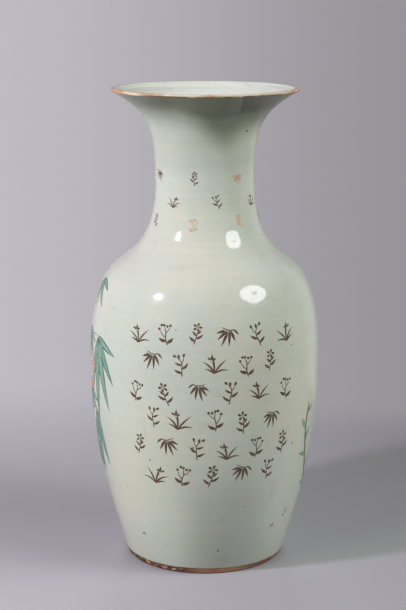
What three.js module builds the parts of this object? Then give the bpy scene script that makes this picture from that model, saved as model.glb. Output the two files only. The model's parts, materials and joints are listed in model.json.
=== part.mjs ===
// A tall porcelain baluster vase: a turned foot, a swelling belly, high round shoulders, a waisted neck
// and a trumpet mouth. Such a vase is too tall to throw in one go, so it is thrown and turned in
// sections, and the sections are luted together with clay slip before it is glazed and fired.
// Millimetres, +Z up, origin at the centre of the ring the vase stands on.
import * as THREE from "three";

// Overall size.
const VASE_HEIGHT = 580;

// Outer outline, from the foot up: the radius and place of each station. The belly is set out from the
// foot, and the neck and shoulder are set out down from the top.
const FOOT_RADIUS = 97;
const BELLY_RADIUS = 141.2;
const BELLY_HEIGHT = 253;
const SHOULDER_RADIUS = 92.3;
const SHOULDER_BELOW_NECK = 86.5;
const NECK_RADIUS = 60.4;
const NECK_BELOW_TOP = 112;
const RIM_RADIUS = 113;
const NECK_HEIGHT = VASE_HEIGHT - NECK_BELOW_TOP;
const SHOULDER_HEIGHT = NECK_HEIGHT - SHOULDER_BELOW_NECK;

// How the outline leaves each slanted station, in degrees above level. It is upright at belly and neck.
const FOOT_SLOPE = 71.4;
const SHOULDER_SLOPE = 38.9;
const RIM_SLOPE = 30.7;

// How full the outline is on each side of a station: how far the curve holds the station's direction, as
// a share of the height from that station to the next.
const FOOT_FULLNESS = 0.576;
const BELLY_LOWER_FULLNESS = 0.192;
const BELLY_UPPER_FULLNESS = 0.84;
const SHOULDER_LOWER_FULLNESS = 0.142;
const SHOULDER_UPPER_FULLNESS = 0.358;
const NECK_LOWER_FULLNESS = 0.416;
const NECK_UPPER_FULLNESS = 0.61;
const RIM_FULLNESS = 0.478;

// Walls.
const WALL_AT_FOOT = 7.5;
const WALL_AT_BELLY = 6;
const WALL_AT_RIM = 4.2;

// Foot and base.
const FOOT_RING_HEIGHT = 7;
const FOOT_RING_WIDTH = 13;
const FOOT_BEVEL = 1.2;
const FOOT_INNER_LEAN = 1.2;
const BASE_THICKNESS = 8;
const BASE_DOME = 2.5;
const BASE_CLEARANCE = 0.3;
const BASE_TOP = FOOT_RING_HEIGHT + BASE_THICKNESS;
const BASE_SEAT_RADIUS = FOOT_RADIUS - FOOT_RING_WIDTH;

// Lip: an iron-dressed band round the top edge.
const LIP_HEIGHT = 5.2;
const LIP_EDGE = 3.2;
const LIP_ROUNDING = 1.4;

// Slip joints between the thrown sections: the layer between two cut faces, and the ridge it leaves inside.
const SLIP_THICKNESS = 1.2;
const SLIP_RIDGE = 1.8;
const HALF_SLIP = SLIP_THICKNESS / 2;
const BELLY_JOINT_DROP = 17;
const SHOULDER_JOINT_RISE = 22.5;
const MOUTH_JOINT_BELOW_TOP = 58;
const BELLY_JOINT_HEIGHT = BELLY_HEIGHT - BELLY_JOINT_DROP;
const SHOULDER_JOINT_HEIGHT = SHOULDER_HEIGHT + SHOULDER_JOINT_RISE;
const MOUTH_JOINT_HEIGHT = VASE_HEIGHT - MOUTH_JOINT_BELOW_TOP;

// How finely the round forms are divided.
const ROUND_STEPS = 48;
const OUTLINE_STEPS = 60;
const CURVE_STEP_DEGREES = 4;
const SHORTEST_STEP = 1;
const DOME_STEPS = 3;

const PORCELAIN_GLAZED = new THREE.MeshStandardMaterial({ color: 0xc9cfc2, roughness: 0.14, metalness: 0 });
const PORCELAIN_BARE = new THREE.MeshStandardMaterial({ color: 0xa9795a, roughness: 0.85, metalness: 0 });
const IRON_DRESSING = new THREE.MeshStandardMaterial({ color: 0xb98a5c, roughness: 0.45, metalness: 0 });
const SLIP = new THREE.MeshStandardMaterial({ color: 0xd8d4c6, roughness: 0.8, metalness: 0 });

const degrees = THREE.MathUtils.degToRad;

// One stretch of the outline, from a station to the next one above. Each station is a point and the
// direction that the outline has there, and each fullness is that of the stretch's side of it.
function stretch(from, fullnessAbove, to, fullnessBelow) {
  const rise = to.point.y - from.point.y;
  return new THREE.CubicBezierCurve(
    from.point,
    from.point.clone().addScaledVector(from.upwards, fullnessAbove * rise),
    to.point.clone().addScaledVector(to.upwards, -fullnessBelow * rise),
    to.point,
  );
}

function station(radius, height, outwards, upwards) {
  return { point: new THREE.Vector2(radius, height), upwards: new THREE.Vector2(outwards, upwards) };
}

// The outer outline as four curves in (radius, height).
function outerCurves() {
  const level = (slope) => Math.cos(degrees(slope));
  const rising = (slope) => Math.sin(degrees(slope));
  const foot = station(FOOT_RADIUS, 0, level(FOOT_SLOPE), rising(FOOT_SLOPE));
  const belly = station(BELLY_RADIUS, BELLY_HEIGHT, 0, 1);
  const shoulder = station(SHOULDER_RADIUS, SHOULDER_HEIGHT, -level(SHOULDER_SLOPE), rising(SHOULDER_SLOPE));
  const neck = station(NECK_RADIUS, NECK_HEIGHT, 0, 1);
  const rim = station(RIM_RADIUS, VASE_HEIGHT - LIP_EDGE, level(RIM_SLOPE), rising(RIM_SLOPE));
  return [
    stretch(foot, FOOT_FULLNESS, belly, BELLY_LOWER_FULLNESS),
    stretch(belly, BELLY_UPPER_FULLNESS, shoulder, SHOULDER_LOWER_FULLNESS),
    stretch(shoulder, SHOULDER_UPPER_FULLNESS, neck, NECK_LOWER_FULLNESS),
    stretch(neck, NECK_UPPER_FULLNESS, rim, RIM_FULLNESS),
  ];
}

// The wall thins evenly from the foot to the belly, and from there to the rim.
function wallAt(height) {
  if (height < BELLY_HEIGHT) {
    return THREE.MathUtils.mapLinear(height, 0, BELLY_HEIGHT, WALL_AT_FOOT, WALL_AT_BELLY);
  }
  return THREE.MathUtils.mapLinear(height, BELLY_HEIGHT, VASE_HEIGHT, WALL_AT_BELLY, WALL_AT_RIM);
}

// Samples of the outer face, and of the inner face one wall behind it, square to the surface.
function sampleOutline() {
  const outer = [];
  const inner = [];
  for (const curve of outerCurves()) {
    for (let i = outer.length ? 1 : 0; i <= OUTLINE_STEPS; i++) {
      const at = curve.getPoint(i / OUTLINE_STEPS);
      const along = curve.getTangent(i / OUTLINE_STEPS);
      outer.push({ radius: at.x, height: at.y, slope: Math.atan2(along.y, along.x) });
      inner.push({
        radius: at.x - along.y * wallAt(at.y),
        height: at.y + along.x * wallAt(at.y),
        slope: Math.atan2(along.y, along.x),
      });
    }
  }
  return { outer, inner };
}

const OUTLINE = sampleOutline();

// The radius and slope of a sampled face at a height.
function faceAt(face, height) {
  let upper = face.findIndex((sample) => sample.height >= height);
  if (upper < 0) upper = face.length - 1;
  const a = face[Math.max(upper - 1, 0)];
  const b = face[Math.max(upper, 1)];
  const share = (height - a.height) / (b.height - a.height);
  return {
    radius: THREE.MathUtils.lerp(a.radius, b.radius, share),
    slope: THREE.MathUtils.lerp(a.slope, b.slope, share),
  };
}

// Points up a face between two heights, a new one each time the face has turned by a set angle.
function climb(face, low, high) {
  const points = [new THREE.Vector2(faceAt(face, low).radius, low)];
  let lastSlope = faceAt(face, low).slope;
  for (const sample of face) {
    const hasTurned = Math.abs(sample.slope - lastSlope) > degrees(CURVE_STEP_DEGREES);
    const clearOfEnds = sample.height > low + SHORTEST_STEP && sample.height < high - SHORTEST_STEP;
    if (hasTurned && clearOfEnds) {
      points.push(new THREE.Vector2(sample.radius, sample.height));
      lastSlope = sample.slope;
    }
  }
  points.push(new THREE.Vector2(faceAt(face, high).radius, high));
  return points;
}

function turned(name, profile, material) {
  const geometry = new THREE.LatheGeometry(profile, ROUND_STEPS);
  geometry.rotateX(Math.PI / 2);
  const mesh = new THREE.Mesh(geometry, material);
  mesh.name = name;
  return mesh;
}

function closed(points) {
  return [...points, points[0].clone()];
}

// A thrown section: both faces of the wall between two level cuts. Its lowest stretch, up to straightTo,
// is turned straight inside, where the base seats against it.
function section(name, low, high, straightTo = low) {
  const outside = climb(OUTLINE.outer, low, high);
  const inside = climb(OUTLINE.inner, straightTo, high).reverse();
  if (straightTo > low) inside.push(new THREE.Vector2(faceAt(OUTLINE.inner, low).radius, low));
  return turned(name, closed([...outside, ...inside]), PORCELAIN_GLAZED);
}

// The slip in a joint is flush outside, and leaves a low ridge round the inside.
function slipJoint(name, height) {
  const low = height - HALF_SLIP;
  const high = height + HALF_SLIP;
  const ridgeRadius = faceAt(OUTLINE.inner, height).radius - SLIP_RIDGE;
  return turned(
    name,
    closed([
      new THREE.Vector2(faceAt(OUTLINE.outer, low).radius, low),
      new THREE.Vector2(faceAt(OUTLINE.outer, high).radius, high),
      new THREE.Vector2(faceAt(OUTLINE.inner, high).radius, high),
      new THREE.Vector2(ridgeRadius, height),
      new THREE.Vector2(faceAt(OUTLINE.inner, low).radius, low),
    ]),
    SLIP,
  );
}

// The foot ring is flat where it stands, with both edges bevelled, and its inner face leans in upwards.
function footRing() {
  const innerRadius = BASE_SEAT_RADIUS + FOOT_INNER_LEAN;
  return turned(
    "foot_ring",
    closed([
      new THREE.Vector2(FOOT_RADIUS - FOOT_BEVEL, 0),
      new THREE.Vector2(faceAt(OUTLINE.outer, FOOT_BEVEL).radius, FOOT_BEVEL),
      new THREE.Vector2(faceAt(OUTLINE.outer, FOOT_RING_HEIGHT).radius, FOOT_RING_HEIGHT),
      new THREE.Vector2(BASE_SEAT_RADIUS, FOOT_RING_HEIGHT),
      new THREE.Vector2(innerRadius, FOOT_BEVEL),
      new THREE.Vector2(innerRadius + FOOT_BEVEL, 0),
    ]),
    PORCELAIN_BARE,
  );
}

// The base is a disc seated on the foot ring inside the wall, domed up underneath as a shallow bowl is.
function baseDisc() {
  const domeRise = (radius) => BASE_DOME * (1 - (radius / BASE_SEAT_RADIUS) ** 2);
  const underside = [];
  for (let i = 0; i <= DOME_STEPS; i++) {
    const radius = (BASE_SEAT_RADIUS * i) / DOME_STEPS;
    underside.push(new THREE.Vector2(radius, FOOT_RING_HEIGHT + domeRise(radius)));
  }
  return turned(
    "base_disc",
    [
      ...underside,
      new THREE.Vector2(faceAt(OUTLINE.inner, FOOT_RING_HEIGHT).radius - BASE_CLEARANCE, FOOT_RING_HEIGHT),
      new THREE.Vector2(faceAt(OUTLINE.inner, BASE_TOP).radius - BASE_CLEARANCE, BASE_TOP),
      new THREE.Vector2(0, BASE_TOP),
    ],
    PORCELAIN_GLAZED,
  );
}

// The lip band closes the wall with a rounded upright edge.
function lipBand() {
  const low = VASE_HEIGHT - LIP_HEIGHT;
  const edgeFoot = VASE_HEIGHT - LIP_EDGE;
  const innerTop = RIM_RADIUS - WALL_AT_RIM - LIP_ROUNDING;
  const midRound = LIP_ROUNDING * (1 - Math.SQRT1_2);
  return turned(
    "lip_band",
    closed([
      new THREE.Vector2(faceAt(OUTLINE.outer, low).radius, low),
      new THREE.Vector2(RIM_RADIUS, edgeFoot),
      new THREE.Vector2(RIM_RADIUS, VASE_HEIGHT - LIP_ROUNDING),
      new THREE.Vector2(RIM_RADIUS - midRound, VASE_HEIGHT - midRound),
      new THREE.Vector2(RIM_RADIUS - LIP_ROUNDING, VASE_HEIGHT),
      new THREE.Vector2(innerTop, VASE_HEIGHT),
      new THREE.Vector2(faceAt(OUTLINE.inner, low).radius, low),
    ]),
    IRON_DRESSING,
  );
}

const vase = new THREE.Group();
vase.name = "baluster_vase";
vase.add(
  footRing(),
  baseDisc(),
  section("lower_belly", FOOT_RING_HEIGHT, BELLY_JOINT_HEIGHT - HALF_SLIP, BASE_TOP),
  slipJoint("belly_slip_joint", BELLY_JOINT_HEIGHT),
  section("upper_belly", BELLY_JOINT_HEIGHT + HALF_SLIP, SHOULDER_JOINT_HEIGHT - HALF_SLIP),
  slipJoint("shoulder_slip_joint", SHOULDER_JOINT_HEIGHT),
  section("neck", SHOULDER_JOINT_HEIGHT + HALF_SLIP, MOUTH_JOINT_HEIGHT - HALF_SLIP),
  slipJoint("mouth_slip_joint", MOUTH_JOINT_HEIGHT),
  section("mouth", MOUTH_JOINT_HEIGHT + HALF_SLIP, VASE_HEIGHT - LIP_HEIGHT),
  lipBand(),
);

export default vase;
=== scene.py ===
"""The looks of a tall porcelain baluster vase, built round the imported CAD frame.

Metres, +Z up, the photographed front at -Y. Each CAD node gets a finer turned mesh that stands for it,
cut from one continuous sheet so that the glaze runs on over the joints between the thrown sections. The
enamel painting is thin raised strokes laid on the glaze.
"""

import json
import math
import random
from collections import defaultdict
from dataclasses import dataclass, field
from typing import NamedTuple

import bpy
import numpy as np
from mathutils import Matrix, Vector


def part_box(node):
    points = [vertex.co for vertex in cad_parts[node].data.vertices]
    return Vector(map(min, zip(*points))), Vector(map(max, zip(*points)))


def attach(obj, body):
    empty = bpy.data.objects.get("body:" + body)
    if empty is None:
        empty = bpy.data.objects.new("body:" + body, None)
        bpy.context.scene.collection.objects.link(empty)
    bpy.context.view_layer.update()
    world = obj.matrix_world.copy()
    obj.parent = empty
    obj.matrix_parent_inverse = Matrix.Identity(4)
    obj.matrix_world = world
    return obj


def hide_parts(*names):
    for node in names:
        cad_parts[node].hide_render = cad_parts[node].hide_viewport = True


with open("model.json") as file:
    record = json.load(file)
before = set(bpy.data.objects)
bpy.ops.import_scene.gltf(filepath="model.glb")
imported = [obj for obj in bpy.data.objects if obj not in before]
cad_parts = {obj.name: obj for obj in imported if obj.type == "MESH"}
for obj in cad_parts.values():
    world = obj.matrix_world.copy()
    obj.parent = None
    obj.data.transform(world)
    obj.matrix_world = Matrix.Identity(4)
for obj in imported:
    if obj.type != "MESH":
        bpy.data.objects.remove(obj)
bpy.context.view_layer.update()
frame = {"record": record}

MM = 0.001

SECTIONS = ("upper_belly", "neck", "mouth")
SLIP_JOINTS = ("belly_slip_joint", "shoulder_slip_joint", "mouth_slip_joint")

# Sizes taken from the frame.
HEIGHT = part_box("lip_band")[1].z
RIM_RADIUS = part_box("lip_band")[1].x
LIP_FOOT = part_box("lip_band")[0].z
FOOT_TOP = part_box("foot_ring")[1].z
BASE_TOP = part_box("base_disc")[1].z
BELLY_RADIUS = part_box("upper_belly")[1].x
JOINT_HEIGHTS = [sum(corner.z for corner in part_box(name)) / 2 for name in SLIP_JOINTS[:2]]

# Walls, foot and lip.
WALL_AT_FOOT = 7.5 * MM
WALL_AT_BELLY = 6 * MM
WALL_AT_RIM = 4.2 * MM
FOOT_RADIUS = 97 * MM
FOOT_RING_WIDTH = 13 * MM
SEAT = FOOT_RADIUS - FOOT_RING_WIDTH
FOOT_BEVEL = 1.2 * MM
FOOT_INNER_LEAN = 1.2 * MM
BASE_DOME = 2.5 * MM
BASE_CLEARANCE = 0.3 * MM
LIP_EDGE = 3.2 * MM
LIP_ROUNDING = 1.4 * MM
SLIP_RIDGE = 1.8 * MM

# How finely the sheet is divided.
AROUND = 256
AROUND_LIP = 512
AROUND_FOOT = 1024
AROUND_LOWER_BELLY = 512
OUTSIDE_STEP = 2.4 * MM
INSIDE_STEP = 5 * MM
SEAM_STEP = 0.35 * MM
CROWN_STEP = 0.7 * MM
FOOT_INSIDE_STEP = 1 * MM
STANDING_STEP = 1.5 * MM
BEVEL_STEP = 0.4 * MM
UNDERSIDE_STEP = 2 * MM
DISC_EDGE_STEP = 0.6 * MM
UNDER_ROWS = 24
TOP_ROWS = 16
LIP_TURN_STEPS = 9
SAMPLES = 500

# How far past a cut the normals look, and lengths that count as none.
AHEAD = 0.5 * MM
WELD = 1e-9
TINY = 1e-12


# The outline, shared by the meshes and the painting.


class Station(NamedTuple):
    """A point of the outline, its way there in degrees, and how full the curves below and above are."""

    radius: float
    height: float
    way: float
    below: float = 0
    above: float = 0


FOOT = Station(FOOT_RADIUS, 0, 71.4, above=0.576)
BELLY = Station(BELLY_RADIUS, 253 * MM, 90, 0.192, 0.84)
SHOULDER = Station(92.3 * MM, 381.5 * MM, 180 - 38.9, 0.142, 0.358)
NECK = Station(60.4 * MM, 468 * MM, 90, 0.416, 0.61)
RIM = Station(RIM_RADIUS, HEIGHT - LIP_EDGE, 30.7, 0.478)
STATIONS = [FOOT, BELLY, SHOULDER, NECK, RIM]


def direction(degrees):
    """Unit vectors (across, up) that point so many degrees up from the right."""
    turn = np.radians(degrees)
    return np.stack([np.cos(turn), np.sin(turn)], axis=-1)


def bezier(a, b, c, d):
    """Points and unit tangents of a cubic curve in (radius, height)."""
    t = np.linspace(0, 1, SAMPLES)[:, None]
    at = (1 - t) ** 3 * a + 3 * (1 - t) ** 2 * t * b + 3 * (1 - t) * t * t * c + t**3 * d
    along = (1 - t) ** 2 * (b - a) + 2 * (1 - t) * t * (c - b) + t * t * (d - c)
    return at, along / np.linalg.norm(along, axis=1)[:, None]


def outer_outline():
    """Radius, height and unit normal of the outer face, from the ground to the lip's edge."""
    points, tangents = [], []
    for low, high in zip(STATIONS, STATIONS[1:]):
        start, end = np.array(low[:2]), np.array(high[:2])
        rise = high.height - low.height
        out, back = direction(low.way) * low.above * rise, direction(high.way) * high.below * rise
        at, along = bezier(start, start + out, end - back, end)
        keep = slice(1 if points else 0, None)
        points.append(at[keep])
        tangents.append(along[keep])
    tangents = np.vstack(tangents)
    return np.column_stack([np.vstack(points), tangents[:, 1], -tangents[:, 0]])


def inner_outline(outer):
    """The same samples one wall in, with normals that face the axis."""
    walls = (WALL_AT_FOOT, WALL_AT_BELLY, WALL_AT_RIM)
    wall = np.interp(outer[:, 1], (0, BELLY.height, HEIGHT), walls)
    points = outer[:, :2] - outer[:, 2:] * wall[:, None]
    order = np.argsort(points[:, 1])
    return np.column_stack([points, -outer[:, 2:]])[order]


OUTER = outer_outline()
INNER = inner_outline(OUTER)
STEPS = np.hypot(np.diff(OUTER[:, 0]), np.diff(OUTER[:, 1]))
OUTER_LENGTH = np.concatenate([[0], np.cumsum(STEPS)])


def on_outline(outline, heights):
    """Rows of (radius, height, normal) at the given heights."""
    radius, out, up = (np.interp(heights, outline[:, 1], outline[:, k]) for k in (0, 2, 3))
    return np.column_stack([radius, heights, out, up])


# The hand-turned wall isn't quite true: it swings in a little, and carries faint turning rings.

LOBES = [(2, 0.16 * MM, 0.6), (3, 0.10 * MM, 2.1), (5, 0.05 * MM, 4.0)]
LOBE_TWIST = 5.0
RINGS = [(9.3 * MM, 0.020 * MM, 0.3), (14.7 * MM, 0.028 * MM, 1.9), (23.1 * MM, 0.035 * MM, 4.4)]
RING_WOBBLE = 0.6
JOINT_WIDTH = 2.4 * MM
JOINT_DEPTH = 0.11 * MM
JOINT_SHARE = 0.7
JOINT_WAVES = [(3, 0.3, 1.3)]
CALM_END = 26 * MM


def waved(base, waves, angles):
    """A number that rises and falls round the vase."""
    for count, size, phase in waves:
        base = base + size * np.sin(count * angles + phase)
    return base


def unevenness(angle, height):
    """How far the outer wall stands off the true outline: 0 at most, so the vase stays in its box."""
    off = -sum(size for _, size, _ in LOBES) * np.ones(np.broadcast(angle, height).shape)
    for count, size, phase in LOBES:
        off += size * np.sin(count * angle + phase + LOBE_TWIST * height / HEIGHT * (count - 1))
    for pitch, size, phase in RINGS:
        wobble = RING_WOBBLE * np.sin(angle + phase)
        off += size * (np.sin(2 * math.pi * height / pitch + phase + wobble) - 1)
    for joint in JOINT_HEIGHTS:
        depth = JOINT_DEPTH * waved(JOINT_SHARE, JOINT_WAVES, angle)
        off -= depth * np.exp(-(((height - joint) / JOINT_WIDTH) ** 2))
    calm = np.clip(np.minimum(height - FOOT_TOP, LIP_FOOT - height) / CALM_END, 0, 1)
    return off * calm * calm * (3 - 2 * calm)


def at_angle(radius, height, angle):
    """3-D points at one or more angles; angle 0 is the front."""
    return np.stack([radius * np.sin(angle), -radius * np.cos(angle), height + 0 * angle], axis=-1)


def surface(angle, height, lift=0.0):
    """Points on the outer face, lifted off it along its normal."""
    row = on_outline(OUTER, np.ravel(height))
    radius, up, out_r, out_z = (row[:, k].reshape(np.shape(height)) for k in range(4))
    off = unevenness(angle, height) + lift
    return at_angle(radius + off * out_r, up + off * out_z, angle)


# Meshes.


def in_scene(name, data):
    made = bpy.data.objects.new(name, data)
    bpy.context.scene.collection.objects.link(made)
    return made


def add_object(name, vertices, faces, material):
    mesh = bpy.data.meshes.new(name)
    mesh.from_pydata(np.asarray(vertices).tolist(), [], faces)
    mesh.materials.append(material)
    mesh.update()
    return in_scene(name, mesh)


def smooth(made, corner_normals=None):
    """Smooth shading, from one normal for each face corner if they are given."""
    made.data.polygons.foreach_set("use_smooth", np.ones(len(made.data.polygons), bool))
    if corner_normals is not None:
        made.data.normals_split_custom_set(corner_normals.tolist())
    made.data.update()


def set_attributes(made, values):
    """Sets of one number for each vertex, which materials read by their names."""
    for name, numbers in values.items():
        layer = made.data.attributes.new(name, "FLOAT", "POINT")
        layer.data.foreach_set("value", np.ascontiguousarray(numbers, dtype=np.float32).ravel())


def unit(vectors):
    return vectors / np.maximum(np.linalg.norm(vectors, axis=2), TINY)[:, :, None]


def sheet_normals(points, before=None, after=None):
    """Unit normals of a grid of points (row, segment), with optional rows beyond its two ends."""
    below, above = ([] if row is None else [row[None]] for row in (before, after))
    grid = np.concatenate([*below, points, *above])
    around = np.roll(grid, -1, axis=1) - np.roll(grid, 1, axis=1)
    normals = unit(np.cross(around, np.gradient(grid, axis=0)))
    return normals[len(below) :][: len(points)]


def four_corners(grid):
    """The corners of the quad that starts at each place of a grid (row, segment)."""
    after, above = np.roll(grid, -1, axis=1), np.roll(grid, -1, axis=0)
    return np.stack([grid, after, np.roll(above, -1, axis=1), above], axis=-1)


def sheet(runs, closed=True):
    """Vertices, quads and corner normals of runs of rows, each run being (points, normals).

    Rows that meet are welded, and runs that end apart are joined by flat cut faces. The last result says
    which rows are kept.
    """
    points = np.concatenate([at for at, _ in runs])
    normals = np.concatenate([normal for _, normal in runs])
    count, around = points.shape[:2]
    kept = np.abs(points - np.roll(points, -1, axis=0)).max(axis=(1, 2)) > WELD
    kept[-1] |= not closed
    rows = np.flatnonzero(kept)[: None if closed else -1]
    rank = (np.cumsum(kept) - kept) % kept.sum()
    quads = four_corners(rank[:, None] * around + np.arange(around))[rows]
    sources = four_corners(np.arange(count * around).reshape(count, around))[rows]
    corners = normals.reshape(-1, 3)[sources]
    ends = np.isin(rows, np.cumsum([len(at) for at, _ in runs]) - 1)
    flat = points.reshape(-1, 3)[sources[ends]]
    cut = unit(np.cross(flat[:, :, 2] - flat[:, :, 0], flat[:, :, 3] - flat[:, :, 1]))
    corners[ends] = cut[:, :, None, :]
    return points[kept].reshape(-1, 3), quads.reshape(-1, 4).tolist(), corners.reshape(-1, 3), kept


def closed_ring(node, runs, material, **marks):
    """A closed ring in place of a CAD node, from runs of rows, with numbers for its vertices."""
    vertices, quads, corners, kept = sheet(runs)
    made = add_object(node, vertices, quads, material)
    smooth(made, corners)
    for name, values in marks.items():
        parts = [np.broadcast_to(value, at.shape[:2]) for value, (at, _) in zip(values, runs)]
        set_attributes(made, {name: np.concatenate(parts)[kept]})
    stand_for(made, node)


def stand_for(made, node):
    """Puts the piece in place of its CAD node; the node's finish is looked up in the record but not given to
    the piece.
    """
    made.name = node + "_look"
    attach(made, "root")
    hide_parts(node)
    slots = {row["node"]: row["material_slot"] for row in frame["record"]["subparts"]}
    slots[node]


def turns(count):
    return np.arange(count) * 2 * math.pi / count


def spread(low, high, step):
    count = max(2, int(math.ceil((high - low) / step)) + 1)
    return np.linspace(low, high, count)


def refine(rows, step):
    """The same polyline with points no further apart than the step."""
    out = [np.array(rows[0], float)]
    for a, b in zip(rows, rows[1:]):
        a, b = np.array(a, float), np.array(b, float)
        count = max(1, int(math.ceil(np.linalg.norm(b - a) / step)))
        out += [a + (b - a) * i / count for i in range(1, count + 1)]
    return np.array(out)


def turned(rows, angles):
    """Points and normals of a meridian line (radius, height) turned round the axis."""
    points = at_angle(rows[:, :1], rows[:, 1:2], angles[None, :])
    return points, sheet_normals(points)


def outside_rows(low, high, step):
    """Points and normals of the outer face between two heights, going up."""
    angles = turns(AROUND)
    points = surface(angles[None, :], spread(low, high, step)[:, None])
    before = surface(angles, np.full(AROUND, low - AHEAD))
    after = surface(angles, np.full(AROUND, min(high + AHEAD, HEIGHT - LIP_EDGE)))
    return points, sheet_normals(points, before, after)


def inside_rows(low, high, step=INSIDE_STEP, ridge=0.0, around=AROUND):
    """Points and normals of the inner face, going down, with a rounded ridge if asked."""
    heights = spread(low, high, step)[::-1]
    rows = on_outline(INNER, heights)
    swell = ridge * np.sin(math.pi * (heights - low) / (high - low))
    rows[:, :2] += rows[:, 2:] * swell[:, None]
    return turned(rows[:, :2], turns(around))


def section(name, material, outside=OUTSIDE_STEP, inside=INSIDE_STEP, ridge=0.0):
    """Both faces of the wall between two cuts, with the ridge that slip leaves inside if asked."""
    low, high = (corner.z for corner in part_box(name))
    runs = [outside_rows(low, high, outside), inside_rows(low, high, inside, ridge)]
    closed_ring(name, runs, material, inside=[0.0, 1.0])


# Materials. An Out is one output of a node tree, and it can be reckoned with like a number.

SPOT_CORE = 0.4


def math_node(operation, swapped=False):
    """A method that puts a Math node after an output."""

    def method(self, other=0.0):
        first, second = (other, self) if swapped else (self, other)
        return self.tree.add("Math", {0: first, 1: second}, operation=operation)

    return method


class Out:
    """One output of a node: a number, a vector, a colour or a shader."""

    __add__ = math_node("ADD")
    __sub__ = math_node("SUBTRACT")
    __rsub__ = math_node("SUBTRACT", swapped=True)
    __mul__ = math_node("MULTIPLY")
    __truediv__ = math_node("DIVIDE")
    __abs__ = math_node("ABSOLUTE")
    most = math_node("MAXIMUM")
    least = math_node("MINIMUM")
    below = math_node("LESS_THAN")
    root = math_node("SQRT")

    def __init__(self, tree, socket):
        self.tree = tree
        self.socket = socket

    def others(self):
        """All the outputs of the same node."""
        return {socket.name: Out(self.tree, socket) for socket in self.socket.node.outputs}

    def ramp(self, low, high, to_low=0.0, to_high=1.0):
        """A smooth step from one value of this output to another."""
        inputs = {"Value": self, "From Min": low, "From Max": high, "To Min": to_low, "To Max": to_high}
        return self.tree.add("MapRange", inputs, interpolation_type="SMOOTHSTEP")

    def tint(self, share, colour, how="MIX"):
        return self.tree.mix(share, self, colour, how)


class Tree:
    """The node tree of a material or a world."""

    def __init__(self, owner):
        owner.use_nodes = True
        self.nodes = owner.node_tree.nodes
        self.links = owner.node_tree.links

    def fill(self, node, inputs):
        """Sets a node's inputs, each to an output, a number, a vector or a colour."""
        for key, value in inputs.items():
            socket = node.inputs[key]
            if isinstance(value, Out):
                self.links.new(value.socket, socket)
            else:
                socket.default_value = (*value, 1) if socket.type == "RGBA" else value

    def add(self, kind, inputs=(), out=0, **settings):
        """Adds a node and returns one of its outputs."""
        node = self.nodes.new("ShaderNode" + kind)
        for name, value in settings.items():
            setattr(node, name, value)
        self.fill(node, dict(inputs))
        return Out(self, node.outputs[out])

    def mix(self, share, first, second, how="MIX"):
        """A colour between two others, which are sockets 6 and 7 of the Mix node."""
        return self.add("Mix", {0: share, 6: first, 7: second}, 2, data_type="RGBA", blend_type=how)

    def end_with(self, output, share, first, second):
        """Sends a mix of two shaders to the tree's output node."""
        mixed = self.add("MixShader", {0: share, 1: first, 2: second})
        self.fill(self.nodes[output], {"Surface": mixed})

    def coords(self, stretch=(1, 1, 1)):
        return self.add("Mapping", {"Vector": self.add("TexCoord", out="Object"), "Scale": stretch})

    def axes(self):
        """Object coordinates as three numbers."""
        return self.add("SeparateXYZ", {"Vector": self.coords()}).others().values()

    def radius(self):
        x, y, _ = self.axes()
        return (x * x + y * y).root()

    def attribute(self, name):
        return self.add("Attribute", out="Fac", attribute_name=name)

    def noise(self, scale, detail=3.0, roughness=0.55, stretch=(1, 1, 1)):
        settings = {"Scale": scale, "Detail": detail, "Roughness": roughness}
        return self.add("TexNoise", {"Vector": self.coords(stretch), **settings})

    def spots(self, scale, radius, share):
        """Small round spots in a random few of a grid's cells."""
        cell = self.add("TexVoronoi", {"Vector": self.coords(), "Scale": scale}).others()
        chosen = self.add("SeparateColor", {"Color": cell["Color"]}).below(share)
        return chosen * cell["Distance"].ramp(radius * scale, SPOT_CORE * radius * scale)

    def bump(self, height, strength, distance):
        return self.add("Bump", {"Height": height, "Strength": strength, "Distance": distance})


def new_material(name, shade):
    """A material whose main shader takes the inputs that a function of its tree works out."""
    made = bpy.data.materials.new(name)
    tree = Tree(made)
    tree.fill(tree.nodes["Principled BSDF"], shade(tree))
    return made


def srgb(*levels):
    """A colour read from an 8-bit picture, as Blender's linear numbers."""
    shares = [level / 255 for level in levels]
    return tuple(c / 12.92 if c <= 0.04045 else ((c + 0.055) / 1.055) ** 2.4 for c in shares)


GLAZE = srgb(210, 213, 200)
GLAZE_COOL = srgb(203, 212, 204)
GLAZE_WARM = srgb(212, 210, 194)
GLAZE_INSIDE = srgb(238, 240, 230)
GLAZE_INSIDE_GREEN = srgb(214, 224, 209)
GLAZE_INSIDE_BLUE = srgb(204, 227, 226)
# Painted shade: the dark that the pooled mask lays on the glaze.
GLAZE_PAINTED_SHADE = srgb(112, 117, 101)
GLAZE_STAIN = srgb(178, 158, 130)
FRECKLE = srgb(150, 130, 104)
IRON_SPOT = srgb(92, 74, 52)
JOINT_TINT = srgb(186, 178, 160)
GLAZE_IOR = 1.52
INSIDE_SHARE = 0.85
GLAZE_RELIEF = (0.35, 0.4 * MM)
# Painted shade under the flare of the mouth: the edges of the rim's shadow.
PAINTED_SHADE_EDGES = [  # middle, end and rise of each side, start and end upwards, and strength
    (22 * MM, [(-28 * MM, 34 * MM), (52 * MM, 16 * MM)], (500 * MM, 540 * MM), 0.72),
    (15 * MM, [(-40 * MM, 16 * MM), (50 * MM, 8 * MM)], (528 * MM, 554 * MM), 0.96),
]
SPOTS = [  # cells in a metre, radius, share of the cells with a spot, strength and colour
    (55, 1.5 * MM, 0.1, 0.3, FRECKLE),
    (46, 0.5 * MM, 0.045, 1, IRON_SPOT),
    (160, 0.26 * MM, 0.02, 1, IRON_SPOT),
]


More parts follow.
